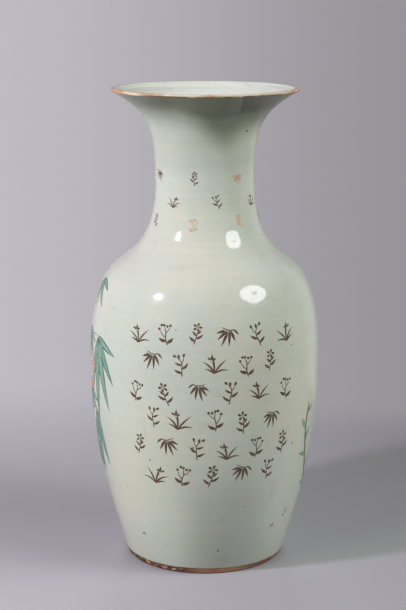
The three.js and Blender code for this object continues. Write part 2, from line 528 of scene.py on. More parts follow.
def glaze_colour(tree):
    """Celadon white with clouds, turning bands, fine grain, stains, freckles and pin spots, and painted
    shade.
    """
    colour = tree.mix(tree.noise(7).ramp(0.35, 0.65), GLAZE, GLAZE_COOL)
    colour = colour.tint(tree.noise(16, 4, 0.6, (1, 1, 0.6)).ramp(0.56, 0.74, 0, 0.4), GLAZE_WARM)
    colour = colour.tint(tree.attribute("inside") * INSIDE_SHARE, inside_colour(tree))
    bands = tree.noise(1, 4, 0.6, (5, 5, 190)).ramp(0.3, 0.7, 0.965, 1.0)
    grain = tree.noise(260).ramp(0.2, 0.8, 0.97, 1.01)
    colour = colour.tint(1.0, bands * grain, "MULTIPLY")
    # The stains are real marks; the pooled mask is painted shade.
    colour = colour.tint(stains(tree), GLAZE_STAIN).tint(pooled(tree), GLAZE_PAINTED_SHADE)
    for joint in JOINT_HEIGHTS:
        colour = colour.tint(joint_line(tree, joint), JOINT_TINT)
    for scale, radius, share, strength, tint in SPOTS:
        colour = colour.tint(tree.spots(scale, radius, share) * strength, tint)
    return colour


def inside_colour(tree):
    """The mouth's inner glaze: paler, with level brush streaks and thin bluish patches."""
    streaks = tree.noise(1, 4, 0.65, (7, 7, 420)).ramp(0.36, 0.66)
    blue = tree.noise(1, 3, 0.5, (20, 20, 60)).ramp(0.52, 0.7, 0, 0.8)
    return tree.mix(streaks, GLAZE_INSIDE_GREEN, GLAZE_INSIDE).tint(blue, GLAZE_INSIDE_BLUE)


def painted_shade_edge(x, z, middle, sides, edge, strength):
    """Painted shade that gathers above an edge that is lowest at its middle and rises to its two sides."""
    for end, rise in sides:
        z = z - x.ramp(middle, end, 0, rise)
    return z.ramp(*edge, 0, strength)


def pooled(tree):
    """Painted shade as darker glaze: the rim's shadow under the flare of the mouth, lowest in front, a
    little on the neck, and shade low on the right and near the foot.
    """
    x, y, z = tree.axes()
    front = y.ramp(-25 * MM, 25 * MM, 1, 0.5)
    neck, flare = (painted_shade_edge(x, z, *row) for row in PAINTED_SHADE_EDGES)
    high = neck.most(flare) * front
    thin = z.ramp(NECK.height, NECK.height + 32 * MM, 0, 0.18) * (1 - high)
    right = x.ramp(-40 * MM, 5 * MM) * x.ramp(95 * MM, 50 * MM) * front
    low = z.ramp(170 * MM, 80 * MM, 0, 0.225) * right + z.ramp(75 * MM, 15 * MM, 0, 0.12)
    return (high + thin + low) * (1 - tree.attribute("inside"))


def stains(tree):
    """Faint brownish clouds, stronger under the rim and near the foot."""
    _, _, z = tree.axes()
    high = z.ramp(HEIGHT - 60 * MM, HEIGHT - 15 * MM, 0, 0.45)
    low = z.ramp(70 * MM, 8 * MM, 0, 0.4)
    cloud = tree.noise(26, 5, 0.68, (1, 1, 1.6)).ramp(0.56, 0.78)
    return cloud * (high.most(low) + 0.22)


def joint_line(tree, joint):
    """The faint tinted line that shows here and there where two sections meet."""
    _, _, z = tree.axes()
    here = tree.noise(9, 3, 0.6, (1, 1, 0.2)).ramp(0.5, 0.68, 0, 0.28)
    return abs(z - joint).ramp(1.1 * MM, 0.2 * MM) * here


def glaze_relief(tree):
    return tree.noise(70, 2) * 0.5 + tree.noise(420, 2) * 0.06


def glaze_roughness(tree):
    return tree.noise(40, 4).ramp(0.3, 0.8, 0.05, 0.13)


def glaze_shade(tree):
    """Thick, glossy celadon-white glaze with a soft orange peel."""
    return {
        "Base Color": glaze_colour(tree),
        "Roughness": glaze_roughness(tree),
        "IOR": GLAZE_IOR,
        "Normal": tree.bump(glaze_relief(tree), *GLAZE_RELIEF),
    }


BARE = srgb(174, 128, 100)
BARE_DARK = srgb(84, 60, 44)
BARE_BURNT = srgb(170, 106, 84)
BARE_FRESH = srgb(192, 138, 98)
BARE_CREAM = srgb(198, 174, 144)
GLAZE_EDGE = srgb(86, 68, 42)
# Grit with painted shade: darkens the chips' broken edges and the standing edge.
FOOT_GRIT_AND_SHADE = srgb(34, 24, 20)
BARE_ROUGHNESS = 0.8


def bare_colour(tree):
    """Burnt orange-brown body, darker at its standing edge from grit and a painted contact shadow, with
    orange and cream in the chips.
    """
    x, _, z = tree.axes()
    tone = tree.noise(30, 5, 0.65, (1, 1, 4))
    burnt = tree.noise(18, 3, 0.5, (1, 1, 2)).ramp(0.54, 0.66)
    sooty = x.ramp(-6 * MM, -26 * MM, 0, 0.8).most(x.ramp(30 * MM, 75 * MM, 0, 0.65))
    fresh = tree.mix(tree.noise(90).ramp(0.54, 0.64), BARE_FRESH, BARE_CREAM)
    colour = tree.mix(tone.ramp(0.34, 0.56), BARE_DARK, BARE).tint(burnt, BARE_BURNT)
    colour = colour.tint(sooty * tone.ramp(0.7, 0.5), BARE_DARK)
    # Grit and painted shade along the chips' broken edges.
    colour = colour.tint(tree.attribute("chip"), fresh).tint(tree.attribute("crevice"), FOOT_GRIT_AND_SHADE)
    # Grit and a painted contact shadow along the standing edge.
    return colour.tint(z.ramp(1.7 * MM, 0.5 * MM, 0, 0.9), FOOT_GRIT_AND_SHADE)


def foot_shade(tree):
    """Bare body below the glaze line, glaze above it, and the dark thin edge where the glaze stops."""
    glazed = tree.attribute("glazed") + (tree.noise(240, 4, 0.7) - 0.5) * 0.5
    above = glazed.ramp(0.5, 0.62)
    bare = 1 - above
    edge = glazed.ramp(0.24, 0.42) * glazed.ramp(0.66, 0.54)
    grit = tree.noise(420, 5, 0.7) * (bare * 2.0)
    return {
        "Base Color": tree.mix(above, bare_colour(tree), glaze_colour(tree)).tint(edge, GLAZE_EDGE),
        "Roughness": bare * BARE_ROUGHNESS + glaze_roughness(tree) * above,
        "IOR": GLAZE_IOR,
        "Normal": tree.bump(grit + glaze_relief(tree) * above, *GLAZE_RELIEF),
    }


LIP_PEACH = srgb(214, 190, 162)
LIP_CREAM = srgb(224, 211, 190)
LIP_IRON = srgb(184, 142, 98)
LIP_DARK = srgb(104, 78, 50)
LIP_RELIEF = (0.4, 0.3 * MM)
DRESSING = (RIM_RADIUS - 3.6 * MM, RIM_RADIUS - 2.2 * MM)
DRESSING_RAGGED = 5 * MM


def dressing_colour(tree):
    """Peach and cream, with iron brown lower down and at both sides, and a dark lower edge."""
    x, _, z = tree.axes()
    patch = tree.noise(1, 4, 0.6, (26, 26, 60))
    low = z.ramp(HEIGHT - 1.1 * MM, HEIGHT - 2.6 * MM) * 0.1
    sides = abs(x).ramp(0.7 * RIM_RADIUS, 0.92 * RIM_RADIUS, 0, 0.12)
    iron = (patch + (sides + low)).ramp(0.5, 0.68, 0, 0.9)
    under = z.ramp(HEIGHT - 1.9 * MM, HEIGHT - 2.6 * MM)
    streaks = tree.noise(1, 5, 0.65, (34, 34, 240)) - x.ramp(-75 * MM, -40 * MM, 0.12, 0)
    colour = tree.mix(patch.ramp(0.42, 0.54), LIP_CREAM, LIP_PEACH).tint(iron, LIP_IRON)
    return colour.tint(streaks.ramp(0.36, 0.52) * under, LIP_DARK)


def lip_shade(tree):
    """Glaze that gives way to a rough dressing on the lip's rounded edge."""
    _, _, z = tree.axes()
    edge = tree.radius() + (tree.noise(60, 4) - 0.5) * DRESSING_RAGGED
    dressed = edge.ramp(*DRESSING) * z.ramp(HEIGHT - 4.0 * MM, HEIGHT - 3.3 * MM)
    return {
        "Base Color": glaze_colour(tree).tint(dressed, dressing_colour(tree)),
        "Roughness": dressed.ramp(0.2, 0.8, 0.1, 0.42),
        "Normal": tree.bump(tree.noise(300, 4) * dressed, *LIP_RELIEF),
    }


# The vase's pieces.

LIP_WANDER = 0.12 * MM
LIP_WAVES = [(5, 1, 1), (13, 0.6, 2), (31, 0.4, 0)]
LIP_FLAT_DROP = 0.3 * MM
LIP_CROWN = (1.2 * MM, 0.05 * MM)
CHIPS = [  # angle in degrees, height, half width, half height and depth
    (-64, 3.4, 4.0, 2.2, 0.8),
    (-54, 5.6, 2.6, 1.6, 0.6),
    (-46, 4.6, 5.6, 2.8, 1.4),
    (-39, 2.4, 2.6, 1.4, 0.7),
    (-36, 5.6, 2.2, 1.4, 0.5),
    (-30.5, 4.2, 5.0, 2.4, 1.3),
    (-23, 3.4, 3.2, 1.8, 0.9),
    (-17, 5.4, 2.0, 1.2, 0.5),
    (-13, 2.4, 1.8, 1.0, 0.5),
    (58, 3.4, 3.0, 1.4, 0.4),
    (104, 3.0, 5.0, 2.0, 0.8),
    (121, 2.4, 3.0, 1.6, 0.6),
    (166, 3.6, 4.0, 1.8, 0.7),
    (-152, 2.6, 3.6, 1.8, 0.8),
    (-118, 3.2, 5.2, 2.0, 0.9),
]
CHIP_RAGGED = [(0.22, 3.1, 2.3, 1), (0.13, 7.3, -4.1, 0)]
CHIP_STEEPNESS = 2.2
CHIP_FACETS = (0.25, 2.6)
CHIP_EDGE = 0.16
CHIP_SHOWS = 0.35 * MM
# How strongly grit and painted shade darken the chips' broken edges.
CREVICE_SHARE = 0.9
GLAZE_LINE = 6.4 * MM
GLAZE_LINE_WAVES = [
    (1, 1.2 * MM, 2.18),
    (2, 0.5 * MM, 2.79),
    (3, 0.25 * MM, 0.4),
    (7, 0.22 * MM, 2.0),
    (17, 0.18 * MM, 5.1),
    (41, 0.10 * MM, 1.1),
]
BARE_END = 11 * MM
GLAZE_STEP = 0.35 * MM
GLAZE_EDGE_WIDTH = 0.9 * MM
WEAR_START = 1.5 * MM
AXIS_GAP = 2 * MM


def lip_band(material):
    """The rounded lip, over the top from the outer face to the inner one."""
    angles = turns(AROUND_LIP)
    outer = on_outline(OUTER, spread(LIP_FOOT, HEIGHT - LIP_EDGE, SEAM_STEP))[:, :2]
    inner = on_outline(INNER, [LIP_FOOT])[0, :2]
    turn = np.linspace(0, math.pi / 2, LIP_TURN_STEPS)
    round_edge = LIP_ROUNDING * np.column_stack([np.cos(turn), np.sin(turn)])
    top_out = [RIM_RADIUS - LIP_ROUNDING, HEIGHT - LIP_ROUNDING] + round_edge
    flat_in = (RIM_RADIUS - WALL_AT_RIM - LIP_ROUNDING, HEIGHT - LIP_FLAT_DROP)
    crest = (flat_in[0] + LIP_CROWN[0], HEIGHT - LIP_CROWN[1])
    upright = refine([outer[-1], top_out[0]], SEAM_STEP)[1:-1]
    crown = refine([top_out[-1], crest, flat_in, inner], CROWN_STEP)[1:]
    rows = np.vstack([outer, upright, top_out, crown])
    points, _ = turned(rows, angles)
    wander = LIP_WANDER * (waved(0, LIP_WAVES, angles) - sum(size for _, size, _ in LIP_WAVES))
    points[:, :, 2] += np.clip((rows[:, 1] - LIP_FOOT) / (HEIGHT - LIP_FOOT), 0, 1)[:, None] * wander
    before = surface(angles, np.full(AROUND_LIP, LIP_FOOT - SEAM_STEP))
    inside = (rows[:, 0] < RIM_RADIUS - WALL_AT_RIM)[:, None]
    closed_ring("lip_band", [(points, sheet_normals(points, before))], material, inside=[inside])


def chip_field(angles, heights):
    """How deep the foot's chips are at each place, and how near it is to a chip's broken edge."""
    depth = np.zeros(np.broadcast(angles, heights).shape)
    rim = np.zeros(depth.shape)
    facet_size, facet_pitch = CHIP_FACETS
    for where, height, half_width, half_height, deep in CHIPS:
        away = (np.degrees(angles) - where + 180) % 360 - 180
        across = np.radians(away) * FOOT_RADIUS / (half_width * MM)
        up = (heights - height * MM) / (half_height * MM)
        ragged = sum(size * np.sin(a * across + b * up + c * where) for size, a, b, c in CHIP_RAGGED)
        reach = np.sqrt(across**2 + up**2) + ragged
        bowl = np.clip((1 - reach) * CHIP_STEEPNESS, 0, 1)
        side = np.sign(np.sin(facet_pitch * across + where))
        facets = (1 - facet_size) + facet_size * side * np.clip(1 - reach, 0, 1)
        depth = np.maximum(depth, deep * MM * bowl * facets)
        rim = np.maximum(rim, np.exp(-(((reach - 1) / CHIP_EDGE) ** 2)))
    return depth, rim


def wear(points, angles, heights):
    """Sets the bare body back from the glaze and breaks the chips out; also what each point shows."""
    heights = np.broadcast_to(heights, points.shape[:2])
    line = waved(GLAZE_LINE, GLAZE_LINE_WAVES, angles[None, :])
    glazed = np.clip(0.5 + (heights - line) / (2 * GLAZE_EDGE_WIDTH), 0, 1)
    chips, rim = chip_field(angles[None, :], heights)
    inward = (GLAZE_STEP * (1 - glazed) + chips) * np.clip(heights / WEAR_START, 0, 1)
    out = points.copy()
    out[:, :, 0] -= inward * np.sin(angles)
    out[:, :, 1] += inward * np.cos(angles)
    chip = np.clip(chips / CHIP_SHOWS, 0, 1)
    return out, {"glazed": glazed, "chip": chip, "crevice": rim * (1 - glazed) * CREVICE_SHARE}


def foot_ring(material):
    """The bare ring that the vase stands on, with the glaze's wavy end and the chips of long use."""
    angles = turns(AROUND_FOOT)
    inner_edge = (SEAT + FOOT_BEVEL + FOOT_INNER_LEAN, 0)
    outer_edge = (FOOT_RADIUS - FOOT_BEVEL, 0)
    outer = on_outline(OUTER, spread(FOOT_BEVEL, FOOT_TOP, SEAM_STEP))[:, :2]
    inside = refine([(SEAT, FOOT_TOP), (SEAT + FOOT_BEVEL, FOOT_BEVEL), inner_edge], FOOT_INSIDE_STEP)
    standing = refine([inner_edge, outer_edge], STANDING_STEP)
    outer = np.vstack([refine([outer_edge, outer[0]], BEVEL_STEP), outer[1:]])
    points, marks = wear(turned(outer, angles)[0], angles, outer[:, 1:2])
    runs = [turned(inside, angles), turned(standing, angles), (points, sheet_normals(points))]
    shown = {key: [0.0, 0.0, values] for key, values in marks.items()}
    closed_ring("foot_ring", runs, material, inside=[0.0] * 3, **shown)


def lower_belly(material):
    """The lowest thrown section: bare and chipped at its very foot, glazed above."""
    low, high = (corner.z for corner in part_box("lower_belly"))
    angles = turns(AROUND_LOWER_BELLY)
    fine, coarse = spread(low, BARE_END, SEAM_STEP), spread(BARE_END, high, OUTSIDE_STEP)
    heights = np.concatenate([[low - SEAM_STEP], fine[:-1], coarse, [high + SEAM_STEP]])[:, None]
    points, marks = wear(surface(angles[None, :], heights), angles, heights)
    outer = (points[1:-1], sheet_normals(points)[1:-1])
    runs = [outer, inside_rows(low, high, around=AROUND_LOWER_BELLY)]
    shown = {key: [values[1:-1], float(key == "glazed")] for key, values in marks.items()}
    closed_ring("lower_belly", runs, material, inside=[0.0, 1.0], **shown)


def base_disc(material):
    """The vase's floor, domed underneath, closed at the axis by fans."""
    angles = turns(AROUND)
    radii = np.linspace(AXIS_GAP, SEAT, UNDER_ROWS)
    under = np.column_stack([radii, FOOT_TOP + BASE_DOME * (1 - (radii / SEAT) ** 2)])
    side = on_outline(INNER, [FOOT_TOP, BASE_TOP])[:, :2] - [BASE_CLEARANCE, 0]
    top = np.array([(radius, BASE_TOP) for radius in np.linspace(side[1][0], AXIS_GAP, TOP_ROWS)])
    rise, edge = refine([under[-1], side[0]], UNDERSIDE_STEP), refine(side, DISC_EDGE_STEP)
    runs = [turned(line, angles) for line in (under, rise, edge, top)]
    points, quads, corners, _ = sheet(runs, closed=False)
    dome = FOOT_TOP + BASE_DOME
    vertices = np.vstack([points, [(0, 0, dome), (0, 0, BASE_TOP)]])
    here, after = np.arange(AROUND), np.roll(np.arange(AROUND), -1)
    last, centre = len(points) - AROUND, np.full(AROUND, len(points))
    fans = np.stack([centre, after, here], axis=1).tolist()
    fans += np.stack([centre + 1, last + here, last + after], axis=1).tolist()
    made = add_object("base_disc", vertices, quads + fans, material)
    ends = np.repeat([(0, 0, -1), (0, 0, 1)], 3 * AROUND, axis=0)
    smooth(made, np.concatenate([corners, ends]))
    set_attributes(made, {"inside": vertices[:, 2] > dome})
    stand_for(made, "base_disc")


def build_vase():
    glaze = new_material("celadon_white_glaze", glaze_shade)
    foot = new_material("burnt_foot_and_glaze_edge", foot_shade)
    foot_ring(foot)
    base_disc(glaze)
    lower_belly(foot)
    for name in SECTIONS:
        section(name, glaze)
    for name in SLIP_JOINTS:
        section(name, glaze, SEAM_STEP, SEAM_STEP / 2, SLIP_RIDGE)
    lip_band(new_material("iron_brown_lip", lip_shade))


# The painting: thin raised strokes of enamel on the glaze. Drawn sizes here are in millimetres.

# A stroke reaches a little into the glaze, and stands fully proud of it from some half width on.
SUNK = 0.06 * MM
PROUD = 0.12 * MM
LEAST_PROUD = 0.45
FULL_HALF = 0.5 * MM
LAYER = 0.045 * MM
THINNEST = 0.12
STROKE_STEP = 1.3
TAPER = 0.66
ENAMEL_RELIEF = (0.3, 0.12 * MM)
STROKE_SECTION = [  # share of the half width, rise and how near the edge it is
    (-1, -1, 1.0),
    (-0.76, 0.7, 0.65),
    (-0.3, 1, 0.0),
    (0.3, 1, 0.0),
    (0.76, 0.7, 0.65),
    (1, -1, 1.0),
    (0, -2.5, 1.0),
]
HAND = random.Random(29)


def about(value, spread):
    """A value as a painter's hand meets it, off by up to the spread."""
    return value + HAND.uniform(-spread, spread)


def radius_at(length):
    """The outline's radius at a length along it from the ground."""
    return np.interp(length, OUTER_LENGTH, OUTER[:, 0])


def height_at(length):
    return np.interp(length, OUTER_LENGTH, OUTER[:, 1])


def length_at(height):
    return np.interp(height, OUTER[:, 1], OUTER_LENGTH)


@dataclass
class Enamel:
    """An overglaze colour with its strokes, which are gathered into one mesh.

    The three colours are those of a thin, a pooled and a full stroke. Worn says how far it is rubbed off.
    """

    name: str
    thin: tuple
    pooled: tuple
    full: tuple
    worn: float = 0.4
    points: list = field(default_factory=list)
    faces: list = field(default_factory=list)
    values: dict = field(default_factory=lambda: defaultdict(list))
    count: int = 0

    def add(self, rings, **values):
        """A closed body from rings of points along a stroke."""
        stations, sides = rings.shape[:2]
        index = self.count + np.arange(stations * sides).reshape(stations, sides)
        quads = four_corners(index)[:-1, :, [0, 3, 2, 1]]
        self.faces += quads.reshape(-1, 4).tolist()
        self.faces += [index[0].tolist(), index[-1][::-1].tolist()]
        self.points.append(rings.reshape(-1, 3))
        for name, value in values.items():
            self.values[name].append(np.broadcast_to(value, (stations, sides)).ravel())
        self.count += stations * sides

    def build(self):
        material = new_material(self.name, self.shade)
        made = add_object(self.name, np.concatenate(self.points), self.faces, material)
        smooth(made)
        set_attributes(made, {name: np.concatenate(values) for name, values in self.values.items()})
        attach(made, "root")

    def shade(self, tree):
        """Translucent colour: thin and pale in the middle of a stroke, pooled dark at its edges."""
        thin, dark, full = (srgb(*levels) for levels in (self.thin, self.pooled, self.full))
        hairs, cloud = brush_hairs(tree), tree.noise(150, 4, 0.6)
        pool = tree.attribute("edge") + (hairs * 1.5 + cloud * 0.7 - 1.1)
        body = (tree.attribute("load") + cloud * 0.5).ramp(0.4, 1.1) * 0.55
        worn = tree.noise(34, 4, 0.65).ramp(0.6, 0.78, 0.05, self.worn)
        colour = tree.mix(pool.ramp(-0.1, 0.9), thin, dark)
        return {
            "Base Color": colour.tint(body, full).tint(worn, GLAZE),
            "Roughness": cloud.ramp(0.3, 0.7, 0.16, 0.34),
            "Normal": tree.bump(hairs + cloud, *ENAMEL_RELIEF),
        }


def brush_hairs(tree):
    """Fine streaks that run along a stroke, other ones on each stroke."""
    share, along, load = (tree.attribute(name) for name in ("share", "along", "load"))
    vector = tree.add("CombineXYZ", {"X": share * 2.2, "Y": along * 0.035, "Z": load * 37})
    return tree.add("TexNoise", {"Vector": vector, "Scale": 2.0, "Detail": 4})


SPRIG_INK = Enamel("sprig_ink", (108, 70, 42), (34, 18, 9), (58, 34, 18), 0.28)
FADED_INK = Enamel("faded_sprig_ink", (214, 178, 148), (186, 122, 84), (204, 152, 116), 0.85)
LEAVES = Enamel("leaf_enamel", (146, 188, 170), (36, 88, 80), (88, 150, 136))
VEINS = Enamel("leaf_veins", (44, 74, 64), (32, 54, 48), (42, 66, 56))
PETALS = Enamel("petal_enamel", (232, 160, 136), (200, 78, 68), (218, 112, 94))
OUTLINES = Enamel("petal_outlines", (112, 52, 44), (78, 38, 34), (96, 48, 40))
BRANCHES = Enamel("branch_enamel", (140, 120, 84), (60, 48, 34), (100, 86, 56))
CANES = Enamel("cane_enamel", (164, 186, 128), (78, 104, 62), (128, 152, 96))
STAMENS = Enamel("stamen_enamel", (226, 192, 98), (180, 136, 58), (208, 168, 80))
SPECKS = Enamel("glaze_specks", (92, 76, 56), (70, 58, 44), (84, 68, 50), 0.15)
HALOS = Enamel("speck_halos", (188, 174, 146), (196, 188, 168), (182, 164, 134), 0.8)
PINK_MARKS = Enamel("pink_marks", (206, 168, 150), (200, 178, 160), (212, 184, 166), 0.6)
FLOWERING = [LEAVES, VEINS, PETALS, OUTLINES, BRANCHES, CANES, STAMENS]
ENAMELS = [SPRIG_INK, FADED_INK, *FLOWERING, SPECKS, HALOS, PINK_MARKS]


@dataclass
class Place:
    """A spot on the glaze that a motif is drawn round, with its turn in degrees and its size."""

    angle: float
    height: float
    turn: float = 0.0
    size: float = 1.0
    mirrored: bool = False

    def track(self, drawn):
        """Drawn points (across, up) as pairs of an angle and a length up the outline."""
        across, up = np.asarray(drawn, float).T * self.size
        across = -across if self.mirrored else across
        cos, sin = direction(self.turn)
        across, up = across * cos - up * sin, across * sin + up * cos
        length = length_at(self.height * MM) + up * MM
        return np.column_stack([math.radians(self.angle) + across * MM / radius_at(length), length])


def curve(points):
    """A smooth line through a few points."""
    points = np.array(points, float)
    ends = [2 * points[0] - points[1], *points, 2 * points[-1] - points[-2]]
    out = []
    for a, b, c, d in zip(ends, ends[1:], ends[2:], ends[3:]):
        count = max(2, int(np.linalg.norm(c - b) / STROKE_STEP))
        t = (np.arange(count) / count)[:, None]
        bent = (2 * a - 5 * b + 4 * c - d) * t**2 + (3 * b - a - 3 * c + d) * t**3
        out.append(0.5 * (2 * b + (c - a) * t + bent))
    return np.vstack([*out, points[-1:]])


def reach(start, degrees, length, bend=0.0, count=8):
    """A drawn path that leaves start in a direction and bends by so many degrees on its way."""
    steps = direction(degrees + bend * np.linspace(0, 1, count - 1)) * length / (count - 1)
    return np.vstack([start, np.asarray(start) + np.cumsum(steps, axis=0)])


def bar(centre, degrees, length, count):
    """A straight path with its middle at the centre."""
    return centre + np.linspace(-length / 2, length / 2, count)[:, None] * direction(degrees)


def round_ends(t, start, end):
    """Rounds off a stroke's two ends, over a share of its length at each."""
    return np.clip(np.minimum(t / start, (1 - t) / end), 0, 1) ** 0.5


def line_width(t):
    return round_ends(t, 0.05, 0.14) * (1 - 0.3 * t)


def twig_width(t):
    return round_ends(t, 0.02, 0.03) * (1 - TAPER * t)


def cane_width(t):
    return round_ends(t, 0.02, 0.02) * (0.84 + 0.16 * np.abs(2 * t - 1) ** 5)


def leaf_width(t):
    return np.sin(math.pi * np.clip(t, 0, 1) ** 0.72) ** 0.9


def petal_width(t):
    return np.sin(math.pi * np.clip(t, 0, 1) ** 1.35) ** 0.6


def dot_width(t):
    return np.sqrt(np.clip(1 - (2 * t - 1) ** 2, 0, 1))


def sweep(enamel, track, width, shape=line_width, layer=0.0, load=0.5):
    """A closed raised stroke along a track; a narrower stroke stands less proud."""
    radius = radius_at(track[:, 1])
    way = np.gradient(track, axis=0) * np.column_stack([radius, np.ones_like(radius)])
    steps = np.linalg.norm(way, axis=1)
    way /= steps[:, None]
    along = np.cumsum(steps) - steps[0]
    half = np.maximum(width * shape(along / along[-1]), THINNEST) * MM / 2
    proud = PROUD * np.clip(half / FULL_HALF, LEAST_PROUD, 1) + layer * LAYER
    shares, rises, edge = np.array(STROKE_SECTION).T
    offset = half[:, None] * shares
    angle = track[:, :1] - way[:, 1:] * offset / radius[:, None]
    length = track[:, 1:] + way[:, :1] * offset
    lift = np.where(rises < 0, rises * SUNK, proud[:, None] * rises)
    rings = surface(angle, height_at(length), lift)
    enamel.add(rings, edge=edge, share=shares, along=along[:, None] / MM, load=load)


def stroke(enamel, place, path, width, shape=line_width, layer=0.0, load=0.5):
    """A raised stroke along a path that is drawn round a place."""
    sweep(enamel, place.track(path), width * place.size, shape, layer, load)


def dot(enamel, place, centre, size, layer=1.0, load=0.5):
    stroke(enamel, place, bar(centre, 90, size, 7), size, dot_width, layer, load)


# Small sprigs in brown, scattered on the front of the belly and round the neck. At is (ink, place).


def stem(ink, place, width, *points):
    stroke(ink, place, curve(points), width)


def ink_leaf(ink, place, start, degrees, length, bend, width=3.2, layer=0, count=8):
    stroke(ink, place, reach(start, degrees, length, bend, count), width, leaf_width, layer)


def ink_petal(ink, place, start, degrees, length, bend, width, layer=1):
    stroke(ink, place, reach(start, degrees, length, bend), width, petal_width, layer)


def blossom_sprig(*at):
    """A five-petalled blossom over four leaves."""
    stem(*at, 1.4, (-2.2, -12), (-0.6, -6), (0.7, -1), (0.5, 3.6))
    ink_leaf(*at, (-1.1, -8), 158, 9, -30)
    ink_leaf(*at, (-0.2, -5), 22, 10, 26)
    ink_leaf(*at, (0.6, -1.5), 150, 7.6, -26, 2.8)
    ink_leaf(*at, (0.7, 0.5), 34, 6.6, 22, 2.4)
    heart = (0.6, 8.0)
    for degrees in range(0, 360, 72):
        ink_petal(*at, heart + 0.9 * direction(degrees), degrees, 4.6, 10, 3.0, 0)
    dot(*at, heart, 1.1, 2)


def bud_sprig(*at):
    """A leaning stem with leaves and three buds."""
    stem(*at, 1.4, (2.0, -12), (0.4, -5), (-1.4, 1), (-0.4, 6), (2.4, 9.4))
    stem(*at, 1.1, (-1.3, 2), (-3.6, 4.8), (-4.6, 7.4))
    ink_leaf(*at, (1.0, -8), 24, 9.4, 26)
    ink_leaf(*at, (-0.2, -4), 162, 9.6, -30)
    ink_leaf(*at, (-1.2, 0.4), 14, 8.4, 34, 2.8)
    for start, degrees in (((2.2, 9.2), 40), ((-4.6, 7.2), 112), ((-0.2, 7), 86)):
        ink_petal(*at, start, degrees, 4.8, 0, 2.9)


def bamboo_sprig(*at):
    """Long leaves hanging from a twig."""
    stem(*at, 1.4, (-7.4, 9), (-1, 7.6), (7.4, 10))
    hanging = ((-126, 12.5, -2.2), (-100, 16.5, -1.0), (-78, 18, 0.4), (-56, 14, 1.6), (-30, 9.5, 3.4))
    for degrees, length, x in hanging:
        ink_leaf(*at, (x, 7.4), degrees, length, 10, 3.1, 1)
    ink_leaf(*at, (-5.8, 8.8), -150, 7.5, 22, 2.4)


def orchid_sprig(*at):
    """Arching blades round a three-petalled flower."""
    for degrees, length, bend in ((132, 17, 58), (110, 21, 26), (84, 23, -18), (62, 19, -50), (42, 12, -46)):
        ink_leaf(*at, (0, -11), degrees, length, bend, 2.2, 0, 12)
    stem(*at, 1.0, (0, -11), (1.6, -3), (5, 3))
    for degrees in (20, 85, 150):
        ink_petal(*at, (5, 3.4), degrees, 5, 12, 2.4)


def berry_sprig(*at):
    """A forked twig with round berries and two broad leaves."""
    stem(*at, 1.5, (-1.4, -12), (0.2, -5), (-0.6, 2), (0.6, 8))
    stem(*at, 1.2, (0, -4), (3.6, 0), (5.8, 4.4))
    stem(*at, 1.1, (-0.5, 1), (-3.8, 4), (-5.6, 7))
    ink_leaf(*at, (-0.9, -9), 166, 9, -40, 4.0)
    ink_leaf(*at, (-0.4, -7.4), 8, 9.6, 34, 4.0)
    for centre in ((0.8, 9.2), (6.4, 5.8), (-6.0, 8.4), (3.6, 9.6), (-2.6, 8.0)):
        dot(*at, centre, 3.0, 1)


SPRIGS = [blossom_sprig, bamboo_sprig, bud_sprig, orchid_sprig, berry_sprig]
FIELD_ROWS = [136, 170, 204, 238, 272, 306]
FIELD_PITCH = 15.0
FIELD_MIDDLE = 4.0
FIELD_SIZES = (1.02, 1.18)
NECK_ROWS = [476, 450, 424]
NECK_COUNT = 7
NECK_START = -12.0
NECK_SIZE = 0.7
FADED = {(0, 1), (2, 1), (2, 0), (1, 4), (0, 5)}


def sprig(ink, row, column, angle, height, size, turn):
    """One sprig, turned a little and now and then mirrored; neighbours are of different kinds."""
    place = Place(angle, height, about(0, turn), size, HAND.random() < 0.5)
    SPRIGS[(2 * row + column) % len(SPRIGS)](ink, place)


def scattered_sprigs():
    for row, height in enumerate(FIELD_ROWS):
        for column in range(-2, 3 + row % 2):
            angle = about(FIELD_MIDDLE + FIELD_PITCH * (column - 0.5 * (row % 2)), 1.2)
            height_here = about(height, 3)
            sprig(SPRIG_INK, row, column, angle, height_here, HAND.uniform(*FIELD_SIZES), 15)
    for row, height in enumerate(NECK_ROWS):
        for column in range(NECK_COUNT):
            angle = NECK_START + 360 / NECK_COUNT * (column + 0.5 * (row % 2))
            ink = FADED_INK if (row, column) in FADED else SPRIG_INK
            sprig(ink, row, column, angle, about(height, 2), NECK_SIZE, 14)


# Flowering branches and bamboo in colours, round the back and up to the front's two edges.

FLAT_RADIUS = 125.0
BROAD_LEAF = 6
LEAF_LINES = ((-0.95, 0.7), (-0.45, 0.34), (0.45, 0.34), (0.95, 0.7))
LEAFY = 0.35
FLOWERY = 0.82
BARK_SPACING = 8
TWIG_SPACING = 17
CANE_LENGTH = 34


def painted_leaf(place, degrees, length, width, bend=None):
    """A pointed enamel leaf with a dark middle vein; a broad one has side veins and outlines too."""
    bend = about(0, 22) if bend is None else bend
    load = HAND.random()
    path = reach((0, 0), degrees, length, bend, max(10, int(length / STROKE_STEP)))
    stroke(LEAVES, place, path, width, leaf_width, HAND.uniform(0, 0.8), load)
    last = int(len(path) * 0.9)
    stroke(VEINS, place, path[1:last], 0.5 + width * 0.03, line_width, 2.4, load)
    if width > BROAD_LEAF:
        half = width / 2 * leaf_width(np.linspace(0, 1, len(path)))[:, None]
        aside = direction(degrees + bend / 2 + 90) * half
        for share, thick in LEAF_LINES:
            stroke(VEINS, place, (path + aside * share)[1:-1], thick, line_width, 2.2, load)


def leaf_spray(place, degrees, count, length, width):
    """Leaves that fan out from one joint of a twig."""
    for k in range(count):
        off = k - (count - 1) / 2
        fan = about(off * 34, 7)
        long = length * (1 - 0.1 * abs(off)) * HAND.uniform(0.85, 1.1)
        painted_leaf(place, degrees + fan, long, width * HAND.uniform(0.85, 1.1))


